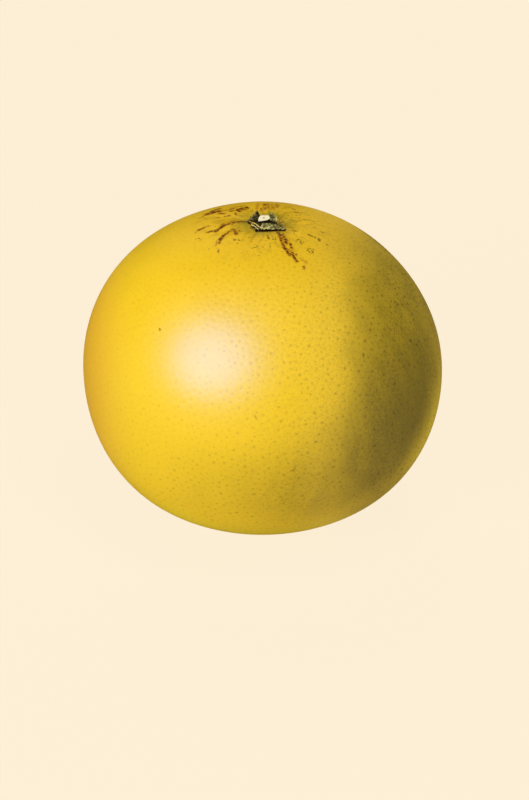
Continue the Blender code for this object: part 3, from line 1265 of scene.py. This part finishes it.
@dataclass
class CalyxSheet:
    """A dried, wrinkled sheet of lobes round the stem.

    The settings of a noise are its fractal increment, its lacunarity and its octaves.
    """

    MARKS = "calyx_marks"
    EDGE_NOISE = (0.7, 2.1, 4)
    FOLD_NOISE = (0.8, 2.2, 4)

    form: FruitForm
    name: str
    lobes: tuple[Lobe, ...]
    finish: Material
    disc_radius: float = 0.0040
    crown_height: float = 0.0015
    rest_height: float = 0.00045
    thickness: float = 0.00030
    lift_power: float = 1.8
    curl_start: float = 0.74
    ragged: float = 0.00022
    wrinkle: float = 0.00026
    segments: int = 240
    rings: int = 34
    seed_height: float = 3.7
    edge_fineness: float = 3.1
    fold_size: float = 1.3 * MM
    fold_share: float = 0.75
    rib_share: float = 0.45
    rib_count: float = 11.0
    rib_twist: float = 3.0
    rib_sway: float = 0.8
    sway_count: float = 3.0
    crown_fade: Fade = Fade(0.30, 1.0)
    wrinkle_fade: Fade = Fade(0.35, 0.65)
    crease_fade: Fade = Fade(-0.55, 0.35, 0.54)
    pale_fade: Fade = Fade(0.28, 0.54)
    edge_fade: Fade = Fade(0.86, 0.95)
    slope_step: float = 0.01
    least_bend: float = 1e-3

    def reach(self, turn: float) -> float:
        """Distance from the stem to the sheet's ragged edge.

        Args:
            turn: the azimuth in degrees.

        Returns:
            The distance in metres.
        """
        reach = self.disc_radius
        for lobe in self.lobes:
            reach += (lobe.reach - self.disc_radius) * lobe.share(turn)
        spot = Vector((*polar(math.radians(turn)), self.seed_height)) * self.edge_fineness
        return reach + self.ragged * noise.fractal(spot, *self.EDGE_NOISE)

    def blend(self, turn: float, what: str) -> float:
        """A lobe value summed over the lobes at an azimuth in degrees."""
        return sum(getattr(lobe, what) * lobe.share(turn) for lobe in self.lobes)

    def fold(self, turn: float, share: float, reach: float) -> float:
        """The wrinkles of the sheet, around zero.

        Args:
            turn: the azimuth in degrees.
            share: share of the way to the edge.
            reach: metres from the stem to the edge.

        Returns:
            A number from about -1 to 1.
        """
        angle = math.radians(turn)
        spot = Vector((*polar(angle, share * reach / self.fold_size), self.seed_height))
        sway = self.rib_sway * math.sin(self.sway_count * angle)
        ribs = math.sin(self.rib_count * angle + self.rib_twist * share + sway)
        return self.fold_share * noise.fractal(spot, *self.FOLD_NOISE) + self.rib_share * ribs

    def height(self, turn: float, distance: float, share: float) -> float:
        """Height of the sheet over the skin before its edge curls.

        Args:
            turn: the azimuth in degrees.
            distance: metres from the stem.
            share: share of the way to the edge.

        Returns:
            The height in metres.
        """
        crown = (self.crown_height - self.rest_height) * (1.0 - self.crown_fade.at(share))
        reach = distance / share if share > 0.0 else self.disc_radius
        rough = self.wrinkle * self.wrinkle_fade.at(share) * self.fold(turn, share, reach)
        return self.rest_height + crown + self.blend(turn, "lift") * share**self.lift_power + rough

    def spot(self, turn: float, share: float) -> Vector:
        """A point of the sheet.

        Args:
            turn: the azimuth in degrees.
            share: share of the way to the edge.

        Returns:
            The point in the row's frame.
        """
        reach = self.reach(turn)
        flat = min(share, self.curl_start)
        distance = flat * reach
        height = self.height(turn, distance, flat)
        if share > flat:
            step = self.slope_step
            before = self.height(turn, (flat - step) * reach, flat - step)
            slope = math.atan2(height - before, step * reach)
            length = (share - flat) * reach
            bend = math.radians(self.blend(turn, "curl")) / ((1.0 - flat) * reach)
            bend = bend if abs(bend) > self.least_bend else self.least_bend
            distance += (math.sin(slope + bend * length) - math.sin(slope)) / bend
            height += (math.cos(slope) - math.cos(slope + bend * length)) / bend
        plan = polar(math.radians(turn), distance)
        x, y = self.form.stem_x + plan.x, self.form.stem_y + plan.y
        return Vector((x, y, self.form.skin_height(x, y) + max(height, self.thickness)))

    def build(self) -> Piece:
        """Turns a flat disc, shapes it by its rule and gives it its thickness.

        Returns:
            The sheet's object.
        """
        shape = bmesh.new()
        line = [shape.verts.new((ring / self.rings, 0.0, 0.0)) for ring in range(self.rings + 1)]
        edges = [shape.edges.new(pair) for pair in zip(line, line[1:])]
        turning = {"cent": (0.0, 0.0, 0.0), "axis": UP, "angle": math.tau, "steps": self.segments}
        bmesh.ops.spin(shape, geom=line + edges, use_merge=True, **turning)
        bmesh.ops.remove_doubles(shape, verts=shape.verts, dist=1e-6)
        marks = shape.verts.layers.float_color.new(self.MARKS)
        for vert in shape.verts:
            share = min(1.0, vert.co.length)
            turn = math.degrees(math.atan2(vert.co.y, vert.co.x))
            fold = self.fold(turn, share, self.reach(turn))
            # Painted shade: the sheet is darker in its creases and paler on its wrinkles' crests.
            crease = 1.0 - self.crease_fade.top + self.crease_fade.at(fold)
            pale = self.blend(turn, "pale") * self.pale_fade.at(share) * crease
            edge = self.blend(turn, "edge") * self.edge_fade.at(share)
            tones = (edge, pale, self.blend(turn, "gilt"))
            vert[marks] = (*(min(1.0, tone) for tone in tones), 1.0)
            vert.co = self.spot(turn, share)
        bmesh.ops.recalc_face_normals(shape, faces=shape.faces)
        up = sum(face.normal.z for face in shape.faces)
        if up < 0.0:
            bmesh.ops.reverse_faces(shape, faces=shape.faces)
        sheet = new_piece(self.name, shape, self.finish)
        solid = sheet.modifiers.new("thickness", "SOLIDIFY")
        solid.thickness = self.thickness
        solid.offset = -1.0
        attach(sheet, "root")
        return sheet


@dataclass
class CalyxRoll:
    """A rolled leaf edge: a thin, tapered roll along a path of plan millimetres and height on the skin."""

    form: FruitForm
    name: str
    path: Path
    finish: Material
    radius: float = 0.00021
    gilt: float = 0.0
    gilt_fade: Fade = Fade(0.60, 0.15)
    pale: float = 0.6
    flatness: float = 0.8
    tip: float = 0.1
    lumps: float = 0.25
    lump_count: float = 9.0
    step: float = 0.01
    sides: int = 14
    cuts: int = 47

    def centre(self, share: float) -> Vector:
        """The roll's middle line, as a smooth curve through the path.

        Args:
            share: share of the way along it.

        Returns:
            The point in the row's frame.
        """
        spans = len(self.path) - 1
        index = min(spans - 1, int(share * spans))
        local = share * spans - index
        picks = [self.path[min(spans, max(0, index + shift))] for shift in (-1, 0, 1, 2)]
        before, start, end, after = (Vector(pick) * MM for pick in picks)
        bend = (2.0 * before - 5.0 * start + 4.0 * end - after) * local**2
        twist = (3.0 * start - before - 3.0 * end + after) * local**3
        spot = 0.5 * (2.0 * start + (end - before) * local + bend + twist)
        x, y = spot.x + self.form.stem_x, spot.y + self.form.stem_y
        return Vector((x, y, self.form.skin_height(x, y) + spot.z))

    def build(self) -> Piece:
        """Bends a cylinder along the path.

        Returns:
            The roll's object.
        """
        shape = bmesh.new()
        even = {"radius1": 1.0, "radius2": 1.0, "depth": 1.0}
        bmesh.ops.create_cone(shape, cap_ends=True, segments=self.sides, **even)
        long = [edge for edge in shape.edges if abs(edge.verts[0].co.z - edge.verts[1].co.z) > 0.5]
        bmesh.ops.subdivide_edges(shape, edges=long, cuts=self.cuts, use_grid_fill=True)
        caps = [face for face in shape.faces if len(face.verts) > 4]
        bmesh.ops.poke(shape, faces=caps)
        marks = shape.verts.layers.float_color.new(CalyxSheet.MARKS)
        for vert in shape.verts:
            share = min(1.0, max(0.0, vert.co.z + 0.5))
            low, high = max(0.0, share - self.step), min(1.0, share + self.step)
            ahead = self.centre(high) - self.centre(low)
            side = ahead.cross(UP).normalized()
            up = side.cross(ahead).normalized()
            taper = math.sqrt(max(0.0, 1.0 - abs(2.0 * share - 1.0) ** 3))
            lump = 1.0 + self.lumps * noise.noise(Vector((share * self.lump_count, self.path[0][1], 0.0)))
            reach = self.radius * (self.tip + (1.0 - self.tip) * taper) * lump
            vert[marks] = (1.0, self.pale, self.gilt * self.gilt_fade.at(share), 1.0)
            vert.co = self.centre(share) + side * vert.co.x * reach * self.flatness + up * vert.co.y * reach
        bmesh.ops.recalc_face_normals(shape, faces=shape.faces)
        roll = new_piece(self.name, shape, self.finish)
        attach(roll, "root")
        return roll


@dataclass
class Calyx:
    """The dried calyx: a star of lobes, a paler fold under it, a dark foot sheet that paints its shadow on
    the skin, and two rolled edges.
    """

    form: FruitForm
    finish: CalyxFinish = field(default_factory=CalyxFinish)
    star: tuple[Lobe, ...] = (
        Lobe(118.0, 0.0052, 15.0, 0.0022, 25.0, pale=0.05, edge=0.22),
        Lobe(146.0, 0.0052, 20.0, 0.0007, 15.0, pale=0.22, edge=0.50, gilt=0.5),
        Lobe(171.0, 0.0055, 12.0, 0.0000, 10.0, pale=0.1, edge=0.0),
        Lobe(52.0, 0.0052, 20.0, 0.0013, 50.0, pale=0.46, edge=0.15),
        Lobe(22.0, 0.0046, 14.0, 0.0004, 30.0, pale=0.8, edge=0.9),
        Lobe(-35.0, 0.0084, 9.5, -0.0002, 0.0, pale=0.1, edge=0.1),
        Lobe(-58.0, 0.0060, 20.0, 0.0001, 15.0, pale=0.95, edge=0.7),
        Lobe(-92.0, 0.0053, 18.0, 0.0002, 25.0, pale=1.0, edge=1.0),
        Lobe(-145.0, 0.0032, 15.0, 0.0002, 10.0, pale=0.3, edge=0.2),
    )
    fold: tuple[Lobe, ...] = (
        Lobe(-158.0, 0.0045, 20.0, 0.0000, 20.0, pale=0.4, edge=0.3),
        Lobe(-118.0, 0.0054, 16.0, 0.0000, 20.0, pale=0.4, edge=0.5),
    )
    # A near-black sheet just wider than the star round its front: painted shadow under the calyx.
    foot: tuple[Lobe, ...] = (
        Lobe(170.0, 0.0056, 16.0, 0.0),
        Lobe(-141.0, 0.0050, 18.0, 0.0),
        Lobe(-113.0, 0.0067, 11.0, 0.0),
        Lobe(-88.0, 0.0063, 16.0, 0.0),
        Lobe(-58.0, 0.0071, 20.0, 0.0),
        Lobe(-37.0, 0.0082, 10.0, 0.0),
        Lobe(60.0, 0.0048, 40.0, 0.0),
    )
    gilt_path: Path = (
        (-4.9, 0.7, 0.5),
        (-4.1, -0.4, 0.9),
        (-3.0, -1.5, 1.0),
        (-2.1, -3.1, 0.95),
        (-1.2, -4.6, 0.8),
        (0.1, -5.3, 0.75),
        (1.1, -5.0, 0.9),
    )
    cream_path: Path = (
        (-4.4, -1.0, 0.35),
        (-3.7, -2.0, 0.50),
        (-2.9, -3.2, 0.50),
        (-2.2, -4.7, 0.45),
        (-1.7, -5.6, 0.30),
    )

    def __post_init__(self) -> None:
        """Sets the sizes of the two sheets under the star."""
        self.fold_sizes = {
            "disc_radius": 0.0036,
            "crown_height": 0.0009,
            "rest_height": 0.0004,
            "thickness": 0.00022,
            "seed_height": 8.2,
        }
        self.foot_sizes = {
            "disc_radius": 0.0042,
            "crown_height": 0.0005,
            "rest_height": 0.0002,
            "thickness": 0.00018,
            "wrinkle": 0.00010,
            "seed_height": 1.4,
        }

    def build(self) -> list[Piece]:
        """Makes the sheets and the rolls.

        Returns:
            The calyx's pieces.
        """
        material = self.finish.build()
        top = CalyxSheet(self.form, "calyx_star", self.star, material).build()
        fold = CalyxSheet(self.form, "calyx_fold", self.fold, material, **self.fold_sizes).build()
        foot = CalyxSheet(self.form, "calyx_foot", self.foot, material, **self.foot_sizes).build()
        gilt = CalyxRoll(self.form, "calyx_gilt_roll", self.gilt_path, material, gilt=1.0).build()
        cream = CalyxRoll(self.form, "calyx_cream_roll", self.cream_path, material, gilt=0.25).build()
        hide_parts("calyx")
        return [top, fold, foot, gilt, cream]


@dataclass
class StemStub:
    """The short cut end of the stem, with bark round a pale slanted face."""

    LUMP_NOISE = (0.8, 2.0, 3)
    form: FruitForm
    cut: CutFinish = field(default_factory=CutFinish)
    bark: BarkFinish = field(default_factory=BarkFinish)
    top_height: float = 0.0025
    foot_height: float = 0.0007
    foot_taper: float = 0.90
    slope: float = 0.18
    rim: float = 0.00014
    sides: int = 48
    face_rings: int = 7
    unevenness: float = 0.00010
    lump_size: float = 0.9 * MM
    lump_push: float = 0.6
    rim_drop: float = 0.6
    side_cuts: int = 4
    tilt_fade: Fade = Fade(0.2, 1.0)
    squareness: float = 0.65
    round_radius: float = 0.0019
    corners: tuple[tuple[float, float], ...] = ((-2.4, -2.2), (2.05, -0.3), (1.85, 1.6), (-1.2, 1.5))

    def outline(self, turn: float) -> float:
        """Distance from the stem's middle to its side, between a circle and a rough square.

        Args:
            turn: the azimuth in radians.

        Returns:
            The distance in metres.
        """
        way, reach = polar(turn), self.round_radius
        points = [Vector(corner) * MM for corner in self.corners]
        for start, end in zip(points, points[1:] + points[:1]):
            side = end - start
            turning = way.x * side.y - way.y * side.x
            along = (start.x * side.y - start.y * side.x) / turning if turning else -1.0
            share = (start.x * way.y - start.y * way.x) / turning if turning else -1.0
            if along > 0.0 and 0.0 <= share <= 1.0:
                reach = along
        return self.round_radius + (reach - self.round_radius) * self.squareness

    def build(self) -> Piece:
        """Makes the stub and dresses it.

        Returns:
            The stub's object.
        """
        shape = bmesh.new()
        depth = self.top_height - self.foot_height
        ends = {"radius1": self.foot_taper, "radius2": 1.0, "depth": depth}
        bmesh.ops.create_cone(shape, cap_ends=True, segments=self.sides, **ends)
        shape.faces.ensure_lookup_table()
        face = max(shape.faces, key=lambda each: each.calc_center_median().z)
        share = self.rim / self.round_radius
        bmesh.ops.inset_region(shape, faces=[face], thickness=share, depth=0.0)
        edges = [edge for edge in shape.edges if abs(edge.verts[0].co.z - edge.verts[1].co.z) > 0.5 * depth]
        bmesh.ops.subdivide_edges(shape, edges=edges, cuts=self.side_cuts, use_grid_fill=True)
        for vert in shape.verts:
            if vert.co.z > 0.49 * depth and vert.co.length > 1.0 - 0.5 * share:
                vert.co.z -= self.rim_drop * self.rim
        step = (1.0 - share) / (self.face_rings + 1.0)
        for _ in range(self.face_rings):
            bmesh.ops.inset_region(shape, faces=[face], thickness=step)
        bmesh.ops.poke(shape, faces=[each for each in shape.faces if len(each.verts) > 4])
        base = self.form.skin_height(self.form.stem_x, self.form.stem_y)
        for each in shape.faces:
            each.material_index = 0 if each.normal.z > 0.5 else 1
        for vert in shape.verts:
            turn, ring = math.atan2(vert.co.y, vert.co.x), math.hypot(vert.co.x, vert.co.y)
            reach = self.outline(turn) * ring
            spot = Vector((*polar(turn, reach), vert.co.z))
            lump = noise.fractal(spot / self.lump_size, *self.LUMP_NOISE) * self.unevenness
            height = vert.co.z + 0.5 * depth
            vert.co.x = self.form.stem_x + spot.x + self.lump_push * lump
            vert.co.y = self.form.stem_y + spot.y
            tilt = (self.slope * spot.y + lump) * self.tilt_fade.at(height / depth)
            vert.co.z = base + self.foot_height + height + tilt
        bmesh.ops.recalc_face_normals(shape, faces=shape.faces)
        stub = new_piece("stem_cut", shape, self.cut.build(), self.bark.build())
        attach(stub, "root")
        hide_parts("stem_stub")
        return stub


@dataclass(frozen=True)
class Lamp:
    """A soft lamp: degrees from the camera's side and above the table, metres, watts and colour."""

    name: str
    azimuth: float
    elevation: float
    watts: float
    side: float = 0.55
    distance: float = 1.3
    tone: Tone = Tone.LAMP
    gloss_only: bool = False


@dataclass
class Studio:
    """A plain paper-toned floor, soft lamps and the camera at the picture's angle."""

    form: FruitForm
    picture_wide: int = 529
    picture_high: int = 800
    millimetres_a_pixel: float = 0.335
    fruit_column: float = 263.1
    fruit_row: float = 365.0
    elevation: float = 26.0
    camera_distance: float = 2.0
    sensor: float = 36.0
    floor_side: float = 14.0
    floor_tone: float = 0.30
    floor_roughness: float = 0.95
    glow: float = 0.86
    dim_glow: float = 0.52
    card_fade: Fade = Fade(0.0, 0.25, 0.26)
    gloss_loss: float = 0.97
    glow_strength: float = 1.12
    air: float = 0.01
    lamps: tuple[Lamp, ...] = (
        Lamp("key_lamp", -40.0, 20.0, 12.1),
        Lamp("top_lamp", 25.0, 67.0, 6.6),
        Lamp("zenith_lamp", 0.0, 85.0, 1.2),
        Lamp("left_back_lamp", -160.0, 22.0, 1.8),
        Lamp("right_back_lamp", 158.0, 20.0, 2.2),
        Lamp("right_side_lamp", 125.0, 8.0, 1.6),
        Lamp("high_back_lamp", -168.0, 50.0, 3.1),
        Lamp("gloss_lamp", -38.5, 34.5, 51.0, 1.18, tone=Tone.GLOSS, gloss_only=True),
    )

    def middle(self) -> Vector:
        """The fruit's middle."""
        return Vector((0.0, 0.0, self.form.middle))

    def floor(self) -> Piece:
        """Makes the floor, which glows a little to the camera so that its shadows stay faint.

        Returns:
            The floor's object.
        """
        shape = bmesh.new()
        bmesh.ops.create_grid(shape, x_segments=1, y_segments=1, size=0.5 * self.floor_side)
        floor = new_piece("floor", shape)
        material = bpy.data.materials.new("paper_floor")
        material.use_nodes = True
        board = Board(material.node_tree)
        shader = material.node_tree.nodes["Principled BSDF"]
        shader.inputs["Base Color"].default_value = Tone.PAPER.colour(self.floor_tone)
        shader.inputs["Roughness"].default_value = self.floor_roughness
        shader.inputs["Specular IOR Level"].default_value = 0.0
        rays = board.add("ShaderNodeLightPath", {}).outputs
        camera, glossy = rays["Is Camera Ray"], rays["Is Glossy Ray"]
        strength = board.line(glossy, Line(self.glow_strength, -self.gloss_loss * self.glow_strength))
        tone = board.mix(camera, Tone.BOUNCE, Tone.PAPER)
        light = board.add("ShaderNodeEmission", {"Color": tone, "Strength": strength})
        share = board.line(camera, Line(self.dim_glow, self.glow - self.dim_glow))
        place = board.add("ShaderNodeTexCoord", {}).outputs["Object"]
        east = board.add("ShaderNodeSeparateXYZ", {0: place}).outputs["X"]
        card = board.times(board.fade(east, self.card_fade), board.math("SUBTRACT", 1.0, camera))
        share = board.math("MAXIMUM", board.math("ADD", share, card), glossy)
        both = board.add("ShaderNodeMixShader", {0: share, 1: shader.outputs[0], 2: light.outputs[0]})
        output = material.node_tree.nodes["Material Output"]
        board.feed(output.inputs["Surface"], both.outputs[0])
        floor.data.materials.append(material)
        return floor

    def world(self) -> None:
        """Makes the air round the stage: paper-toned to the camera and dim to everything else."""
        world = bpy.data.worlds.new("studio_air")
        bpy.context.scene.world = world
        world.use_nodes = True
        board = Board(world.node_tree)
        seen = board.add("ShaderNodeLightPath", {}).outputs["Is Camera Ray"]
        back = world.node_tree.nodes["Background"]
        board.feed(back.inputs["Color"], board.mix(seen, Tone.SKY.colour(self.air), Tone.PAPER))

    def lamp(self, lamp: Lamp) -> None:
        """Adds a soft lamp that faces the fruit.

        Args:
            lamp: its place, size and power.
        """
        turn, lift = math.radians(lamp.azimuth), math.radians(lamp.elevation)
        way = Vector((math.sin(turn) * math.cos(lift), -math.cos(turn) * math.cos(lift), math.sin(lift)))
        data = bpy.data.lights.new(lamp.name, "AREA")
        data.shape = "DISK" if lamp.gloss_only else "SQUARE"
        data.size = lamp.side
        data.energy = lamp.watts
        data.color = lamp.tone.colour()[:3]
        piece = bpy.data.objects.new(lamp.name, data)
        bpy.context.scene.collection.objects.link(piece)
        piece.location = self.middle() + way * lamp.distance
        piece.rotation_euler = (-way).to_track_quat("-Z", "Y").to_euler()
        piece.visible_diffuse = not lamp.gloss_only
        piece.visible_glossy = lamp.gloss_only

    def camera(self) -> None:
        """Places the camera so that the fruit falls where the picture has it."""
        lift = math.radians(self.elevation)
        up = Vector((0.0, math.sin(lift), math.cos(lift)))
        back = Vector((0.0, -math.cos(lift), math.sin(lift)))
        pixel = self.millimetres_a_pixel * MM
        right_shift = (0.5 * self.picture_wide - self.fruit_column) * pixel
        up_shift = (self.fruit_row - 0.5 * self.picture_high) * pixel
        aim = self.middle() + Vector((right_shift, 0.0, 0.0)) + up * up_shift
        data = bpy.data.cameras.new("camera")
        data.lens = self.sensor * self.camera_distance / (self.picture_high * pixel)
        data.sensor_width = self.sensor
        camera = bpy.data.objects.new("camera", data)
        bpy.context.scene.collection.objects.link(camera)
        camera.location = aim + back * self.camera_distance
        camera.rotation_euler = (-back).to_track_quat("-Z", "Y").to_euler()
        bpy.context.scene.camera = camera

    def build(self) -> None:
        """Sets the whole stage."""
        bpy.context.scene.view_settings.view_transform = "Standard"
        self.floor()
        self.world()
        for lamp in self.lamps:
            self.lamp(lamp)
        self.camera()


def main() -> None:
    """Builds every piece in turn."""
    logging.basicConfig(level=logging.INFO, format="%(name)s: %(message)s")
    form = FruitForm()
    Studio(form).build()
    report(Rind(form).build())
    for piece in Calyx(form).build():
        report(piece)
    report(StemStub(form).build())


if __name__ == "__main__":
    main()
